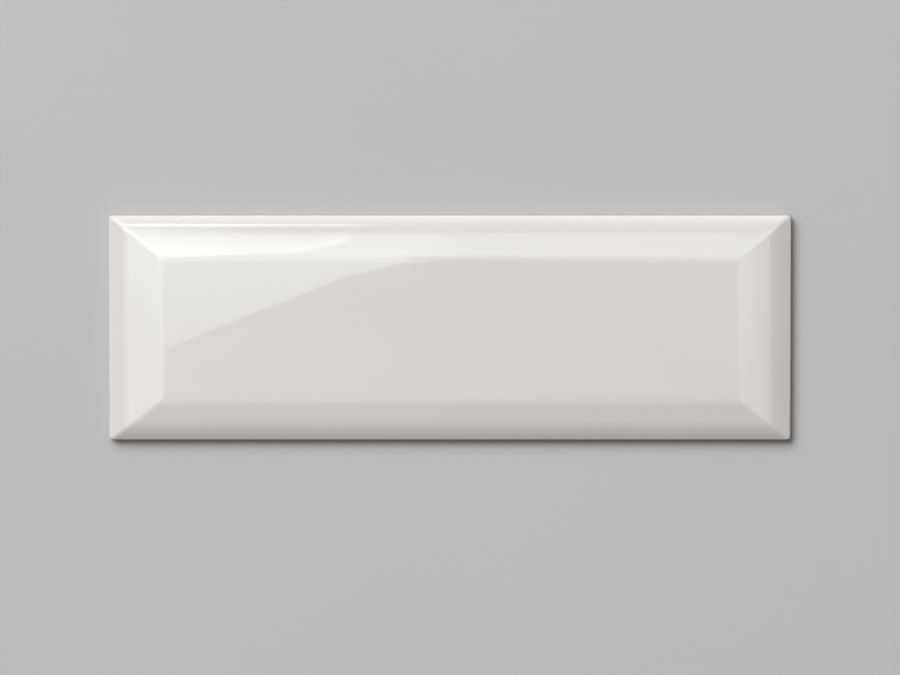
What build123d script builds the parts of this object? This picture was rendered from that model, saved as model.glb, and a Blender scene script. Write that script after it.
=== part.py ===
from build123d import *

import os

# Bevelled wall tile: one pressed and fired ceramic piece, lying on its keyed back.
# The origin is the centre of the back. +X runs along the length, +Y up the tile as it is laid in
# a wall, and +Z out of the glazed face. Every size is in millimetres.

# Outline
length = 300.0
width = 100.0
corner_radius = 1.8  # upright corners, seen from the face

# Face, from the panel out to the edge: a gentle bevel, a shoulder and a steeper rim
panel_height = 8.5  # the flat panel above the back
bevel_drop = 2.1  # panel down to shoulder
rim_drop = 2.5  # shoulder down to the upright edge, before the arris is rounded
side_bevel = 12.8  # widths along the two long sides
side_rim = 5.2
end_bevel = 16.0  # widths along the two ends
end_rim = 7.3

# Softness
face_radius = 20.0  # of every crease and shoulder
mitre_radius = 7.0  # a ball of this radius rolls over the mitres, where bevels and rims meet
arris_radius = 1.15  # between the rim and the upright edges
back_chamfer = 0.5  # between the back and the upright edges

# Keyed back: a field of shallow cells between ribs, inside a plain margin
key_margin = 8.0
rib_width = 3.0
cell_size = 11.4  # wanted: the cells come out nearest to this that fill the field
key_depth = 0.9
key_draft = 25.0  # degrees, so that the cells leave the die


def face_section(span, bevel, rim):
    """Section across the face with rounded creases, kept one mitre_radius inside the finished one.

    The rims run on past the outline, and the section goes far below the back, so that the ball
    rolls over the mitres of the face and nothing else of the tile.
    """
    shoulder_height = panel_height - bevel_drop
    rim_slope = rim_drop / rim
    run_on = 1.5 * face_radius
    outer_height = shoulder_height - rim_slope * (rim + run_on)
    floor = outer_height - 3 * face_radius
    half = span / 2
    right = [
        (half + run_on, floor),
        (half + run_on, outer_height),
        (half - rim, shoulder_height),
        (half - rim - bevel, panel_height),
    ]
    left = [(-across, height) for across, height in reversed(right)]
    sharp = offset(make_face(Polyline(*right, *left, close=True)), amount=-face_radius)
    return offset(sharp, amount=face_radius - mitre_radius, kind=Kind.ARC)


def rolled_face():
    """A block whose top is the tile's face: two crossed sections, with the mitres rolled over."""
    across = extrude(Plane.YZ * face_section(width, side_bevel, side_rim), length, both=True)
    along = extrude(Plane.XZ * face_section(length, end_bevel, end_rim), length, both=True)
    return offset(across & along, amount=mitre_radius, kind=Kind.ARC)


def arris_edges(body, outline):
    """The loop where the face meets the upright edges."""
    plan = outline.wire()
    near = 0.01

    def on_arris(edge):
        points = [edge @ place for place in (0, 0.5, 1)]
        above_back = min(point.Z for point in points) > near
        return above_back and all(plan.distance_to(Vector(p.X, p.Y, 0)) < near for p in points)

    return body.edges().filter_by(on_arris)


def cells_along(span):
    """How many cells fill the field along this span, and the pitch that makes them fit it."""
    field = span - 2 * key_margin
    count = round((field + rib_width) / (cell_size + rib_width))
    return count, (field + rib_width) / count


def key_cells():
    """The recesses of the keyed back, narrower towards their floor."""
    columns, pitch_x = cells_along(length)
    rows, pitch_y = cells_along(width)
    mouth = Rectangle(pitch_x - rib_width, pitch_y - rib_width)
    cell = extrude(mouth, key_depth, taper=key_draft)
    return GridLocations(pitch_x, pitch_y, columns, rows) * cell


def tile_body():
    """The whole tile: face, upright edges, rounded arris, eased back and keyed back."""
    outline = RectangleRounded(length, width, corner_radius)
    body = rolled_face() & extrude(outline, 2 * panel_height)
    body = fillet(arris_edges(body, outline), arris_radius)
    body = chamfer(body.edges().group_by(Axis.Z)[0], back_chamfer)
    return body - key_cells()


os.makedirs("parts", exist_ok=True)
export_step(tile_body(), "parts/tile_body.step")
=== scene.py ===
import math

import bmesh
import bpy
import numpy as np
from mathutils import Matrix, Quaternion, Vector, noise


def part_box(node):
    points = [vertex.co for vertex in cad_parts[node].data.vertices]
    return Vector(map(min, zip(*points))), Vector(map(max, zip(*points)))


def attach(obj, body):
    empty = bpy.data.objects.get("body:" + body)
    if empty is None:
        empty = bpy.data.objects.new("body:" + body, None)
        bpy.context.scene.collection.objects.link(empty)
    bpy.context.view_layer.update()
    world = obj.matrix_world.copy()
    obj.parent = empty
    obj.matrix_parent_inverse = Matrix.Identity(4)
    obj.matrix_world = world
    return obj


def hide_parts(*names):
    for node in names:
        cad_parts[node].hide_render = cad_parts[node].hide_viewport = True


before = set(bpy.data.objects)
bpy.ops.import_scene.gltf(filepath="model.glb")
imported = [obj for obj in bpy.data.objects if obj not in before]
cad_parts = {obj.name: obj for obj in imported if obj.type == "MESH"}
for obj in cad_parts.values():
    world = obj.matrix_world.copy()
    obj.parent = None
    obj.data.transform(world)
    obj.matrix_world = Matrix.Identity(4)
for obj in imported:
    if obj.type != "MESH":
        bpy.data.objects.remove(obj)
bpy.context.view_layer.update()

# Driving sizes. The tile's length, width and thickness come from the frame, and the rest are
# given in millimetres, in the frame's axes: +X along the tile, +Y up it as laid, +Z out of its face.
MM = 0.001
LOW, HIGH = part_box("tile_body")
HALF_LENGTH = (HIGH.x - LOW.x) / 2
HALF_WIDTH = (HIGH.y - LOW.y) / 2
PANEL_HEIGHT = HIGH.z

CORNER_RADIUS = 1.8 * MM
BEVEL_DROP = 2.1 * MM
RIM_DROP = 2.5 * MM
SIDE_BEVEL = 12.8 * MM
SIDE_RIM = 5.2 * MM
END_BEVEL = 16.0 * MM
END_RIM = 7.3 * MM
BEVEL_CROWN = 0.07 * MM  # how far the middle of a bevel stands above its chord
CREASE_RADIUS = 22.0 * MM
SHOULDER_RADIUS = 20.0 * MM
MITRE_WIDTH = 2.3 * MM  # of the rounding where the crossed profiles meet
ARRIS_INSET = 0.6 * MM  # where the arris starts to turn down from the rim
BACK_CHAMFER = 0.5 * MM

KEY_MARGIN = 8.0 * MM
RIB_WIDTH = 3.0 * MM
CELL_SIZE = 11.4 * MM
KEY_DEPTH = 0.9 * MM
KEY_DRAFT = math.radians(25)
KEY_ROUNDING = 0.1 * MM  # on the ribs' edges and at the cells' floors

# Glaze
GLAZE_THICKNESS = 0.12 * MM  # how far the glazed sides stand proud of the bare body
GLAZE_LINE = 1.8 * MM  # mean height above the back at which the glaze ends
GLAZE_LINE_SWELL = 0.52 * MM  # how far it wanders in long swells
GLAZE_LINE_SWELL_SIZE = 16 * MM
GLAZE_LINE_RIPPLE = 0.24 * MM  # and in short ones
GLAZE_LINE_RIPPLE_SIZE = 4.5 * MM
GLAZE_LINE_ROOM = 0.6 * MM  # the line stays this far below the arris
BARE_START = 0.02 * MM  # where the bare body starts, below the line
SAG_HEIGHT = 0.0025 * MM  # of the slow swells in the fired glaze
SAG_SIZE = 55 * MM
PEEL_HEIGHT = 0.0022 * MM  # of its faint orange peel
PEEL_SIZE = 6 * MM
RELIEF_ROOM = 0.005 * MM  # the glaze is lowered by this, so that its swells stay inside the solid's box
SEED_STEP = Vector((17.3, 5.1, 9.7))  # how far apart two seeds sample the noise

# How thin the glaze lies near its line, 0 to 1, and how many millimetres above the line
GLAZE_LIP = ((0.0, 0.5), (0.0, 0.3), (0.05, 0.14), (0.3, 0.05), (0.7, 0.0))

# Fineness of the mesh
PANEL_STEP = 1.5 * MM
BEVEL_STEP = 0.42 * MM
EDGE_STEP = 0.24 * MM
CREASE_ROOM = 3 * MM  # the finer grid starts this far inside the crease
EDGE_ROOM = 2.2 * MM  # and the finest this far inside the edge
ARRIS_STEPS = 8
EASING_STEPS = 5
BACK_RING = 0.2 * MM  # width of the flat ring inside the eased edge of the back
KEY_LINES = np.array([-0.22, -0.05, 0.08, 0.34, 0.5, 0.8]) * MM  # into a cell, from its mouth
PROBE = 0.01 * MM  # step for slopes
LEAST_TURN = 1e-6  # between two slopes, where they are taken to differ at all
LEAST_BLEND = 1e-12

FLOOR_GAP = 0.02 * MM


# Shape of the face

def soft_min(first, second, radius, turn):
    """The lower of two heights, rounded to this radius where their slopes differ by turn."""
    blend = np.maximum(radius * turn ** 2 / 2, LEAST_BLEND)
    overlap = np.maximum(blend - np.abs(first - second), 0)
    return np.minimum(first, second) - overlap ** 2 / (4 * blend)


def profile(inset, bevel, rim):
    """Height of the face this far in from a long straight edge: rim, bevel and panel."""
    rim_slope = RIM_DROP / rim
    bevel_slope = BEVEL_DROP / bevel
    shoulder = PANEL_HEIGHT - BEVEL_DROP
    up_bevel = np.clip((inset - rim) / bevel, -0.5, 1.5)  # 0 at the shoulder and 1 at the crease
    on_rim = shoulder + rim_slope * (inset - rim)
    on_bevel = shoulder + bevel_slope * (inset - rim) + 4 * BEVEL_CROWN * up_bevel * (1 - up_bevel)
    sloped = soft_min(on_rim, on_bevel, SHOULDER_RADIUS, rim_slope - bevel_slope)
    return soft_min(sloped, PANEL_HEIGHT, CREASE_RADIUS, bevel_slope)


def slope(inset, bevel, rim):
    """How steeply the profile rises at this place."""
    rise = profile(inset + PROBE, bevel, rim) - profile(inset - PROBE, bevel, rim)
    return rise / (2 * PROBE)


def face_height(x, y):
    """The lower of the two crossed profiles, with the mitres between them rounded."""
    from_end = HALF_LENGTH - np.abs(x)
    from_side = HALF_WIDTH - np.abs(y)
    along = profile(from_end, END_BEVEL, END_RIM)
    across = profile(from_side, SIDE_BEVEL, SIDE_RIM)
    turn = np.hypot(slope(from_end, END_BEVEL, END_RIM), slope(from_side, SIDE_BEVEL, SIDE_RIM))
    turn = np.maximum(turn, LEAST_TURN)
    return soft_min(along, across, MITRE_WIDTH / turn, turn)


def waves(x, y, size, seed):
    """Smooth noise between about -1 and 1 at each point, with swells of about this size."""
    offset = seed * SEED_STEP
    places = zip(np.ravel(x) / size, np.ravel(y) / size)
    return np.reshape([noise.noise(Vector((*place, 0)) + offset) for place in places], np.shape(x))


def glaze_relief(x, y):
    """How far the fired glaze lies above the pressed face: a slow sag and a faint orange peel."""
    sag = waves(x, y, SAG_SIZE, seed=1)
    peel = waves(x, y, PEEL_SIZE, seed=2)
    return SAG_HEIGHT * sag + PEEL_HEIGHT * peel


# Grid lines

def spaced(stops, steps):
    """Ascending positions through the stops, with about this step in each stretch."""
    parts = []
    for start, end, step in zip(stops, stops[1:], steps):
        parts.append(np.linspace(start, end, max(1, round((end - start) / step)), endpoint=False))
    return np.append(np.concatenate(parts), stops[-1])


def face_lines(half, bevel, rim):
    """Grid lines from the middle of the face to where the arris starts, mirrored."""
    crease = half - rim - bevel
    stops = [0, crease - CREASE_ROOM, half - EDGE_ROOM, half - ARRIS_INSET]
    positive = spaced(stops, [PANEL_STEP, BEVEL_STEP, EDGE_STEP])
    return np.concatenate([-positive[:0:-1], positive])


def rounded_corner(x, y, half_x, half_y, radius):
    """Moves a grid's square corners inwards onto arcs of this radius."""
    u = np.clip((np.abs(x) - (half_x - radius)) / radius, 0, 1)
    v = np.clip((np.abs(y) - (half_y - radius)) / radius, 0, 1)
    shift_x = radius * u * (np.sqrt(1 - v ** 2 / 2) - 1)
    shift_y = radius * v * (np.sqrt(1 - u ** 2 / 2) - 1)
    return x + np.sign(x) * shift_x, y + np.sign(y) * shift_y


class Surface:
    """Collects the vertices and faces of one closed mesh."""

    def __init__(self):
        self.points = []
        self.faces = []
        self.bare = []  # for each face, whether it is unglazed
        self.thin = []  # for each point, how thin the glaze lies there, 0 to 1

    def add_points(self, points, thin=0.0):
        first = len(self.points)
        self.points.extend(map(tuple, points))
        self.thin.extend(np.broadcast_to(thin, len(points)))
        return list(range(first, len(self.points)))

    def add_faces(self, faces, bare):
        self.faces.extend(faces)
        self.bare.extend([bare] * len(faces))

    def add_grid(self, x, y, z, bare, upward=True):
        """A grid of quads. Returns its outer loop, anticlockwise seen from above."""
        points = np.stack([x.ravel(), y.ravel(), z.ravel()], axis=1)
        ids = np.reshape(self.add_points(points), x.shape)
        corners = [ids[:-1, :-1], ids[:-1, 1:], ids[1:, 1:], ids[1:, :-1]]
        if not upward:
            corners.reverse()
        self.add_faces(np.stack([c.ravel() for c in corners], axis=1).tolist(), bare)
        return [*ids[0, :-1], *ids[:-1, -1], *ids[-1, :0:-1], *ids[:0:-1, 0]]

    def add_ring(self, upper, lower, bare):
        """Quads between two loops that run anticlockwise, the first above the second."""
        after = [*range(1, len(upper)), 0]
        quads = [[upper[i], lower[i], lower[j], upper[j]] for i, j in enumerate(after)]
        self.add_faces(quads, bare)


# Rings below the face

def outward(x, y):
    """Unit normal in plan of the rounded outline, at points a little inside it."""
    u = np.maximum(np.abs(x) - (HALF_LENGTH - CORNER_RADIUS), 0) * np.sign(x)
    v = np.maximum(np.abs(y) - (HALF_WIDTH - CORNER_RADIUS), 0) * np.sign(y)
    reach = np.hypot(u, v)
    return u / reach, v / reach


def glaze_line(x, y):
    """Height above the back at which the glaze ends, round the sides."""
    swell = waves(x, y, GLAZE_LINE_SWELL_SIZE, seed=5)
    ripple = waves(x, y, GLAZE_LINE_RIPPLE_SIZE, seed=6)
    return GLAZE_LINE + GLAZE_LINE_SWELL * swell + GLAZE_LINE_RIPPLE * ripple


def add_sides(surface, loop):
    """Arris, glazed wall, lip of the glaze, bare wall and eased back edge, down to the back."""
    start = np.array([surface.points[i] for i in loop])
    x, y, z = start.T
    normal_x, normal_y = outward(x, y)
    inner = face_height(x - normal_x * PROBE, y - normal_y * PROBE)
    outer = face_height(x + normal_x * PROBE, y + normal_y * PROBE)
    lean = np.arctan2(inner - outer, 2 * PROBE)
    radius = ARRIS_INSET / (1 - np.sin(lean))

    def ring(inset, height, above, bare, thin=0.0):
        out = ARRIS_INSET - inset
        points = np.stack([x + normal_x * out, y + normal_y * out, height + 0 * x], axis=1)
        ids = surface.add_points(points, thin)
        surface.add_ring(above, ids, bare)
        return ids

    for step in range(1, ARRIS_STEPS + 1):
        share = step / ARRIS_STEPS
        turn = lean + (math.pi / 2 - lean) * share
        inset = ARRIS_INSET - radius * (np.sin(turn) - np.sin(lean))
        height = z - radius * (np.cos(lean) - np.cos(turn))
        thinness = math.sin(math.pi * share) ** 2
        loop = ring(inset, height, loop, bare=False, thin=thinness)
    wall_top = height

    line = np.minimum(glaze_line(x, y), wall_top - GLAZE_LINE_ROOM)
    for thinness, lift in GLAZE_LIP:
        loop = ring(thinness * GLAZE_THICKNESS, line + lift * MM, loop, bare=False, thin=thinness)
    loop = ring(GLAZE_THICKNESS, line - BARE_START, loop, bare=True)

    middle = (line + BACK_CHAMFER) / 2
    loop = ring(GLAZE_THICKNESS, middle, loop, bare=True)
    reach = BACK_CHAMFER - GLAZE_THICKNESS
    for step in range(EASING_STEPS + 1):
        turn = math.pi / 2 * step / EASING_STEPS
        inset = GLAZE_THICKNESS + reach * (1 - math.cos(turn))
        loop = ring(inset, BACK_CHAMFER * (1 - math.sin(turn)), loop, bare=True)
    return ring(BACK_CHAMFER + BACK_RING, 0.0, loop, bare=True)


# Keyed back

def cells_along(half):
    """How many cells fill the field, and the pitch that makes them fit it."""
    field = 2 * (half - KEY_MARGIN)
    count = round((field + RIB_WIDTH) / (CELL_SIZE + RIB_WIDTH))
    return count, (field + RIB_WIDTH) / count


def key_lines(half):
    """Grid lines of the keyed field: close together at each cell's walls."""
    count, pitch = cells_along(half)
    mouth = (pitch - RIB_WIDTH) / 2
    lines = [-(count * pitch) / 2]
    for index in range(count):
        middle = (index - (count - 1) / 2) * pitch
        lines += [*(middle - mouth + KEY_LINES), middle, *(middle + mouth - KEY_LINES[::-1])]
    lines.append(count * pitch / 2)
    return np.array(lines)


def key_depth(x, y):
    """How deep the keyed back is pressed in at each point."""
    into = []
    for along, half in ((x, HALF_LENGTH), (y, HALF_WIDTH)):
        count, pitch = cells_along(half)
        from_middle = np.abs((along / pitch + (count - 1) / 2 + 0.5) % 1 - 0.5) * pitch
        into.append((pitch - RIB_WIDTH) / 2 - from_middle)
    steepness = 1 / math.tan(KEY_DRAFT)
    wall = soft_min(into[0] * steepness, into[1] * steepness, KEY_ROUNDING, steepness)
    floored = soft_min(wall, KEY_DEPTH, KEY_ROUNDING, steepness)
    return -soft_min(-floored, 0.0, KEY_ROUNDING, steepness)


def add_key(surface):
    """The keyed field of the back, level with the plain margin round it. Returns its outer loop."""
    x, y = np.meshgrid(key_lines(HALF_LENGTH), key_lines(HALF_WIDTH))
    depth = key_depth(x, y)
    return surface.add_grid(x, y, depth - depth[0, 0], bare=True, upward=False)


def fill_margin(mesh_data, field_loop, outer_loop):
    """Closes the flat margin of the back between two loops of unlike counts."""
    edit = bmesh.new()
    edit.from_mesh(mesh_data)
    edit.verts.ensure_lookup_table()
    edges = []
    for loop in (field_loop, outer_loop):
        corners = [edit.verts[int(i)] for i in loop]
        for first, second in zip(corners, corners[1:] + corners[:1]):
            edges.append(edit.edges.get((first, second)))
    made = bmesh.ops.triangle_fill(edit, use_beauty=True, edges=edges, normal=(0, 0, -1))
    bare_slot = 1
    for piece in made["geom"]:
        if isinstance(piece, bmesh.types.BMFace):
            piece.material_index = bare_slot
    bmesh.ops.recalc_face_normals(edit, faces=edit.faces)
    for face in edit.faces:
        face.smooth = True
    edit.to_mesh(mesh_data)
    edit.free()


def build_tile():
    """The tile as one closed mesh: face, sides and keyed back."""
    surface = Surface()
    lines_x = face_lines(HALF_LENGTH, END_BEVEL, END_RIM)
    lines_y = face_lines(HALF_WIDTH, SIDE_BEVEL, SIDE_RIM)
    x, y = np.meshgrid(lines_x, lines_y)
    inner = (HALF_LENGTH - ARRIS_INSET, HALF_WIDTH - ARRIS_INSET)
    x, y = rounded_corner(x, y, *inner, CORNER_RADIUS - ARRIS_INSET)
    z = face_height(x, y) + glaze_relief(x, y) - RELIEF_ROOM
    loop = surface.add_grid(x, y, z, bare=False)
    outer_loop = add_sides(surface, loop)
    field_loop = add_key(surface)

    data = bpy.data.meshes.new("glazed_tile")
    data.from_pydata(surface.points, [], surface.faces)
    for face, bare in zip(data.polygons, surface.bare):
        face.material_index = int(bare)
    thin = data.attributes.new("thin", "FLOAT", "POINT")
    thin.data.foreach_set("value", np.array(surface.thin, dtype=np.float32))
    fill_margin(data, field_loop, outer_loop)
    tile = bpy.data.objects.new("glazed_tile", data)
    bpy.context.scene.collection.objects.link(tile)
    return tile


# Materials and lamp patterns, as node graphs

# Sockets of the mix node, where it mixes colours
MIX_SHARE = 0
MIX_FIRST = 6
MIX_SECOND = 7
MIX_RESULT = 2


class Graph:
    """Adds nodes to one node tree."""

    def __init__(self, tree):
        self.nodes = tree.nodes
        self.links = tree.links

    def add(self, kind, **settings):
        node = self.nodes.new(kind)
        for name, value in settings.items():
            setattr(node, name, value)
        return node

    def feed(self, socket, value):
        """Links an output to this socket, or sets the socket's own value."""
        if isinstance(value, bpy.types.NodeSocket):
            self.links.new(value, socket)
        elif isinstance(value, tuple):
            socket.default_value = (*value, 1.0)
        else:
            socket.default_value = value

    def math(self, operation, *values):
        node = self.add("ShaderNodeMath", operation=operation)
        for socket, value in zip(node.inputs, values):
            self.feed(socket, value)
        return node.outputs[0]

    def line(self, value, slope, start):
        """The height of a straight line at this value, given by its slope and its height at 0."""
        return self.math("MULTIPLY_ADD", value, slope, start)

    def ramp(self, value, start, end, before=0.0, after=1.0):
        """Goes from before to after as the value goes from start to end, and stays flat beyond."""
        node = self.add("ShaderNodeMapRange")
        for socket, given in zip(node.inputs, (value, start, end, before, after)):
            self.feed(socket, given)
        return node.outputs[0]

    def mix(self, share, first, second):
        node = self.add("ShaderNodeMix", data_type="RGBA")
        self.feed(node.inputs[MIX_SHARE], share)
        self.feed(node.inputs[MIX_FIRST], first)
        self.feed(node.inputs[MIX_SECOND], second)
        return node.outputs[MIX_RESULT]

    def noise(self, place, scale, detail=2.0):
        node = self.add("ShaderNodeTexNoise")
        self.feed(node.inputs["Vector"], place)
        self.feed(node.inputs["Scale"], scale)
        self.feed(node.inputs["Detail"], detail)
        return node.outputs[0]

    def bump(self, height, distance, strength):
        node = self.add("ShaderNodeBump")
        self.feed(node.inputs["Height"], height)
        self.feed(node.inputs["Distance"], distance)
        self.feed(node.inputs["Strength"], strength)
        return node.outputs[0]


def new_material(name):
    material = bpy.data.materials.new(name)
    material.use_nodes = True
    graph = Graph(material.node_tree)
    place = graph.add("ShaderNodeTexCoord").outputs["Object"]
    return material, graph, place, graph.nodes["Principled BSDF"].inputs


def glaze_material():
    """White gloss glaze: faintly clouded, and warmer where it thins over the arris."""
    material, graph, place, shader = new_material("white_glaze")
    white = (0.797, 0.779, 0.749)
    cloud = (0.787, 0.768, 0.737)
    body_shows = (0.76, 0.71, 0.67)
    most_shown = 0.12
    clouding = graph.ramp(graph.noise(place, scale=22.0, detail=3.0), start=0.35, end=0.65)
    tone = graph.mix(clouding, white, cloud)
    thin = graph.add("ShaderNodeAttribute", attribute_name="thin").outputs["Fac"]
    tone = graph.mix(graph.math("MULTIPLY", thin, most_shown), tone, body_shows)
    graph.feed(shader["Base Color"], tone)
    patches = graph.noise(place, scale=160.0)
    roughness = graph.ramp(patches, start=0.3, end=0.7, before=0.010, after=0.018)
    graph.feed(shader["Roughness"], roughness)
    graph.feed(shader["IOR"], 1.5)
    return material


def seen_share(graph):
    """One for the rays that show the surroundings: the camera's, and those of gloss and glass."""
    path = graph.add("ShaderNodeLightPath").outputs
    gloss = graph.math("MAXIMUM", path["Is Glossy Ray"], path["Is Transmission Ray"])
    return graph.math("MAXIMUM", path["Is Camera Ray"], gloss)


def biscuit_material():
    """Bare fired body: cream, matt and finely speckled, with a sandy grain."""
    material, graph, place, shader = new_material("bare_biscuit")
    cream = (0.69, 0.62, 0.52)
    pale = (0.76, 0.70, 0.61)
    fleck = (0.47, 0.39, 0.31)
    patches = graph.ramp(graph.noise(place, scale=60.0, detail=4.0), start=0.35, end=0.65)
    tone = graph.mix(patches, cream, pale)
    flecks = graph.ramp(graph.noise(place, scale=2600.0), start=0.66, end=0.74, after=0.8)
    graph.feed(shader["Base Color"], graph.mix(flecks, tone, fleck))
    graph.feed(shader["Roughness"], 0.85)
    grain = graph.noise(place, scale=1800.0, detail=6.0)
    graph.feed(shader["Normal"], graph.bump(grain, distance=0.06 * MM, strength=0.5))
    return material


def floor_material():
    """Pale where it is seen, and dark for the light that it throws back onto the tile."""
    material, graph, place, shader = new_material("pale_floor")
    grey = (0.60, 0.602, 0.61)
    paler = (0.62, 0.622, 0.628)
    thrown_back = (0.06, 0.06, 0.06)
    tone = graph.mix(graph.noise(place, scale=5.0), grey, paler)
    graph.feed(shader["Base Color"], graph.mix(seen_share(graph), thrown_back, tone))
    graph.feed(shader["Roughness"], 0.8)
    graph.feed(shader["Specular IOR Level"], 0.1)
    return material


def build_floor():
    """A square sheet just below the tile, so that no two faces share a plane."""
    reach = 8.0
    level = LOW.z - FLOOR_GAP
    corners = [(-reach, -reach), (reach, -reach), (reach, reach), (-reach, reach)]
    data = bpy.data.meshes.new("floor")
    data.from_pydata([(x, y, level) for x, y in corners], [], [(0, 1, 2, 3)])
    floor = bpy.data.objects.new("floor", data)
    bpy.context.scene.collection.objects.link(floor)
    floor.data.materials.append(floor_material())


# Camera, in the photograph's frame of 900 by 675 pixels

FRAME_WIDTH = 900
TILE_WIDTH_SEEN = 682.0  # pixels
TILE_CENTRE_ABOVE_MIDDLE = 9.8  # pixels
PIXEL = 2 * HALF_LENGTH / TILE_WIDTH_SEEN
CAMERA_DISTANCE = 6.0
CAMERA_LEAN = math.radians(9.0)  # from the face's normal, towards the tile's upper side
SENSOR = 36.0
EDGE_HEIGHT = PANEL_HEIGHT - BEVEL_DROP - RIM_DROP
AIM = Vector((0, -TILE_CENTRE_ABOVE_MIDDLE * PIXEL, EDGE_HEIGHT))


def build_camera():
    data = bpy.data.cameras.new("camera")
    data.sensor_width = SENSOR
    data.lens = SENSOR * CAMERA_DISTANCE / (FRAME_WIDTH * PIXEL)
    data.clip_start = 0.1
    data.clip_end = 50
    camera = bpy.data.objects.new("camera", data)
    away = Vector((0, math.sin(CAMERA_LEAN), math.cos(CAMERA_LEAN)))
    camera.location = AIM + CAMERA_DISTANCE * away
    camera.rotation_euler = (-CAMERA_LEAN, 0, 0)
    bpy.context.scene.collection.objects.link(camera)
    bpy.context.scene.camera = camera


# Lamps, in metres. A leaning lamp stands far off, and an overhead lamp lies flat above the tile.

AMBIENT = (0.175, 0.160, 0.152)
SURROUNDINGS = (0.55, 0.55, 0.55)  # as the camera and the gloss see them
GLOSS_TINT = (0.95, 1.0, 1.03)  # of the lamps that only show in gloss
LEANING_DISTANCE = 8.0
OVERHEAD = 1.0  # height of the overhead lamps
LAYER = 0.002  # between one overhead lamp and the next, as lamps in one plane hide each other
FAR = 0.48  # where most overhead lamps end, along Y
FAR_FADE = 0.31  # width over which they fade out there
CUT = 0.0004  # half the width of a sharp edge in a lamp's pattern
SHARPER_CUT = 0.0003


def area_lamp(name, place, rotation, size, radiance):
    """A rectangular area lamp, given by its radiance."""
    data = bpy.data.lights.new(name, "AREA")
    data.shape = "RECTANGLE"
    data.size, data.size_y = size
    data.energy = radiance * math.pi * size[0] * size[1]
    lamp = bpy.data.objects.new(name, data)
    lamp.location = place
    lamp.rotation_mode = "QUATERNION"
    lamp.rotation_quaternion = rotation
    lamp.visible_camera = False
    bpy.context.scene.collection.objects.link(lamp)
    return lamp


def leaning_lamp(name, off_vertical, from_top, size, radiance):
    """A lamp that faces the tile, turned from its upper side towards its left."""
    angle = math.radians(off_vertical)
    turn = math.radians(from_top)
    level = math.sin(angle)
    towards = Vector((-level * math.sin(turn), level * math.cos(turn), math.cos(angle)))
    return area_lamp(name, towards * LEANING_DISTANCE, towards.to_track_quat("Z", "Y"), size, radiance)


def only_in_gloss(lamp, shares_at):
    """Keeps a lamp to the gloss, with shares of its light by the place along it, 0 to 1 each way."""
    lamp.visible_diffuse = False
    lamp.data.color = GLOSS_TINT
    lamp.data.use_nodes = True
    graph = Graph(lamp.data.node_tree)
    spot = graph.add("ShaderNodeSeparateXYZ")
    graph.feed(spot.inputs[0], graph.add("ShaderNodeNewGeometry").outputs["Parametric"])
    shares = shares_at(graph, spot.outputs[0], spot.outputs[1])
    strength = shares[0]
    for share in shares[1:]:
        strength = graph.math("MULTIPLY", strength, share)
    graph.feed(graph.nodes["Emission"].inputs["Strength"], strength)


def overhead_lamp(name, reach, fades, radiance, pattern=None):
    """A lamp overhead that only shows in gloss, and fades out over these widths at its sides.

    Its reach and fades are given for its left, right, near and far sides, in that order. Its
    pattern gives further shares of its light, by the place above the tile.
    """
    left, right, near, far = reach
    level = OVERHEAD + LAYER * len(bpy.data.lights)
    middle = ((left + right) / 2, (near + far) / 2, level)
    lamp = area_lamp(name, middle, Quaternion(), (right - left, far - near), radiance)

    def shares_at(graph, along, across):
        x = graph.ramp(along, 0.0, 1.0, left, right)
        y = graph.ramp(across, 0.0, 1.0, near, far)
        shares = [
            graph.ramp(x, left, left + fades[0]),
            graph.ramp(x, right, right - fades[1]),
            graph.ramp(y, near, near + fades[2]),
            graph.ramp(y, far, far - fades[3]),
        ]
        return shares + (pattern(graph, x, y) if pattern else [])

    only_in_gloss(lamp, shares_at)


def softbox_pattern(graph, x, y):
    """A slanting lower edge, flatter on the right, a soft right corner and a glow that builds up."""
    steeper = graph.line(x, slope=0.405, start=-0.1088)
    flatter = graph.line(x, slope=0.25, start=-0.1173)
    above = graph.math("SUBTRACT", y, graph.math("MINIMUM", steeper, flatter))
    below_edge = graph.ramp(above, start=-0.013, end=0.0)
    rightwards = graph.ramp(x, start=-0.09, end=-0.04, after=0.22)
    fringe = graph.math("MULTIPLY", below_edge, rightwards)
    edge = graph.math("MAXIMUM", graph.ramp(above, -SHARPER_CUT, SHARPER_CUT), fringe)
    off_corner = graph.ramp(x, start=-0.014, end=-0.026, before=0.3)
    corner = graph.math("MAXIMUM", off_corner, graph.ramp(y, start=-0.05, end=0.12))
    rise = graph.ramp(y, start=-0.20, end=-0.10)
    glow = graph.line(graph.math("MULTIPLY", rise, rise), slope=0.60, start=0.37)
    glow = graph.math("ADD", glow, graph.ramp(y, start=-0.08, end=0.15, after=0.10))
    return [edge, corner, glow]


def window_pattern(graph, x, y):
    """A slanting right edge, brightest at its tip, and a lower end that hangs down on the left."""
    steep = graph.line(y, slope=0.35, start=-0.147)
    slanting = graph.line(y, slope=0.605, start=-0.1863)
    from_edge = graph.math("SUBTRACT", graph.math("MAXIMUM", steep, slanting), x)
    right = graph.ramp(from_edge, -CUT, CUT)
    hang = graph.ramp(x, start=-0.15, end=-0.25, after=0.15)
    lower = graph.ramp(graph.math("ADD", y, hang), start=-0.10, end=0.12)
    rightwards = graph.ramp(x, start=-0.10, end=-0.06)
    tip = graph.math("MULTIPLY", rightwards, graph.ramp(from_edge, start=0.025, end=0.004))
    dimmed = graph.ramp(x, start=-0.12, end=-0.07, before=1.0, after=0.45)
    body = graph.math("MULTIPLY", dimmed, graph.ramp(y, start=0.252, end=0.19, before=0.2))
    tip_glow = 0.75
    return [right, lower, graph.math("MULTIPLY_ADD", tip, tip_glow, body)]


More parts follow.
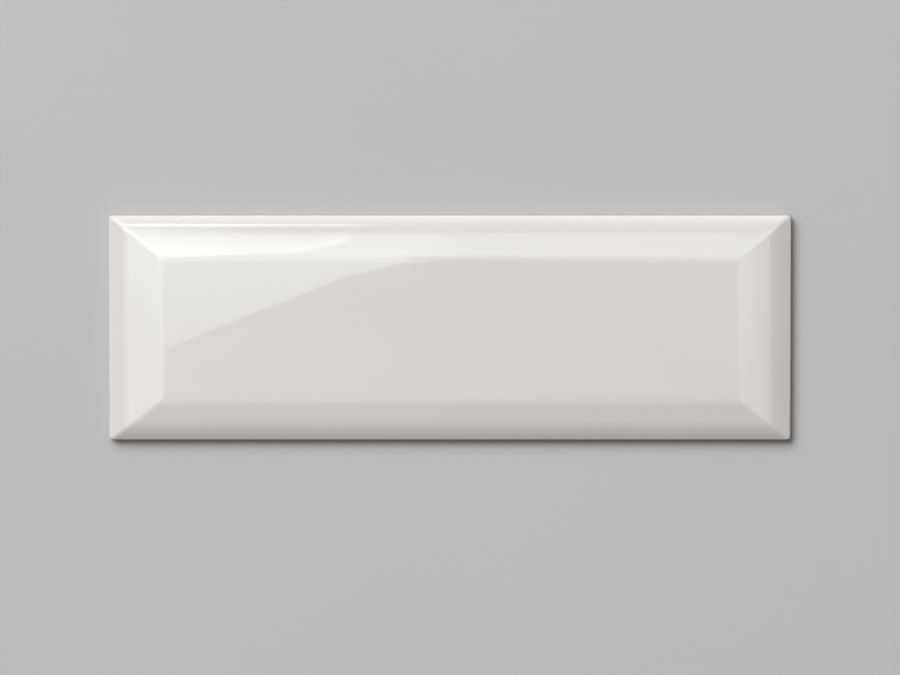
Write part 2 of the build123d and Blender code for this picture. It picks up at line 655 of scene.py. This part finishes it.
def fill_pattern(graph, x, y):
    """A slanting lower edge, clear of the panel's own reflection."""
    above = graph.math("SUBTRACT", y, graph.line(x, slope=-0.64, start=0.016))
    lower = graph.ramp(above, start=-0.11, end=0.12)
    return [lower, graph.ramp(x, start=0.15, end=0.38, before=1.0, after=1.4)]


def strip_pattern(graph, x, y):
    """Half as bright over the right part of the shoulder."""
    return [graph.ramp(x, start=-0.125, end=-0.075, before=1.0, after=0.5)]


def haze_pattern(graph, x, y):
    """Weaker towards the right."""
    return [graph.ramp(x, start=-0.14, end=0.12, before=1.0, after=0.2)]


def sheen_pattern(graph, along, across):
    """Brightest halfway up, for the arrises, and dark low down, where it would glare in low views."""
    rising = graph.ramp(across, start=1.0, end=0.62)
    off_horizon = graph.ramp(across, start=0.28, end=0.48)
    upper = graph.ramp(across, start=0.48, end=0.62, before=0.4)
    return [rising, rising, off_horizon, upper]


def side_sheen_pattern(graph, along, across):
    """As the other, but clear of the left rim."""
    off_rim = graph.ramp(across, start=0.86, end=0.62)
    off_horizon = graph.ramp(across, start=0.28, end=0.48)
    return [off_rim, off_horizon]


def build_leaning_lamps():
    """The key light, which the gloss doesn't show, and two sheens that only the gloss shows."""
    key = leaning_lamp("key", off_vertical=47.2, from_top=32.7, size=(7.2, 5.2), radiance=6.1)
    key.visible_glossy = False
    size = (3.4, 8.8)
    sheen = leaning_lamp("sheen", off_vertical=60.0, from_top=0.0, size=size, radiance=6.8)
    only_in_gloss(sheen, sheen_pattern)
    side_sheen = leaning_lamp("side_sheen", off_vertical=60.0, from_top=101.0, size=size, radiance=2.0)
    only_in_gloss(side_sheen, side_sheen_pattern)


def build_overhead_lamps():
    """The lamps whose reflections show on the panel, the bevels and the shoulders."""
    overhead_lamp("haze", reach=(-0.92, 0.50, -0.75, FAR), fades=(0.40, 0.12, 0.45, FAR_FADE),
                  radiance=1.4, pattern=haze_pattern)
    overhead_lamp("ceiling", reach=(-0.05, 0.30, -0.38, -0.07), fades=(0.09, 0.10, 0.14, 0.11),
                  radiance=0.15)
    overhead_lamp("softbox", reach=(-0.92, 0.003, -0.50, FAR), fades=(0.40, 0.016, 0.001, FAR_FADE),
                  radiance=3.7, pattern=softbox_pattern)
    overhead_lamp("window", reach=(-0.45, -0.050, -0.25, 0.252), fades=(0.15, 0.004, 0.001, 0.012),
                  radiance=2.6, pattern=window_pattern)
    overhead_lamp("fill", reach=(-0.013, 0.50, -0.35, FAR), fades=(0.016, 0.13, 0.001, FAR_FADE),
                  radiance=2.9, pattern=fill_pattern)
    overhead_lamp("strip", reach=(-0.62, -0.035, 0.60, 0.79), fades=(0.10, 0.02, 0.09, 0.02),
                  radiance=6.6, pattern=strip_pattern)
    overhead_lamp("corner", reach=(-0.62, -0.10, 0.20, 0.66), fades=(0.08, 0.10, 0.16, 0.12),
                  radiance=4.4)


def build_world():
    """Dim for the light that falls on the tile, and pale where it is seen."""
    world = bpy.data.worlds.new("studio")
    bpy.context.scene.world = world
    world.use_nodes = True
    graph = Graph(world.node_tree)
    tone = graph.mix(seen_share(graph), AMBIENT, SURROUNDINGS)
    background = graph.nodes["Background"].inputs
    graph.feed(background["Color"], tone)
    graph.feed(background["Strength"], 1.0)


tile = build_tile()
tile.data.materials.append(glaze_material())
tile.data.materials.append(biscuit_material())
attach(tile, "root")
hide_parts("tile_body")
build_floor()
build_camera()
build_leaning_lamps()
build_overhead_lamps()
build_world()
bpy.context.scene.view_settings.view_transform = "Standard"
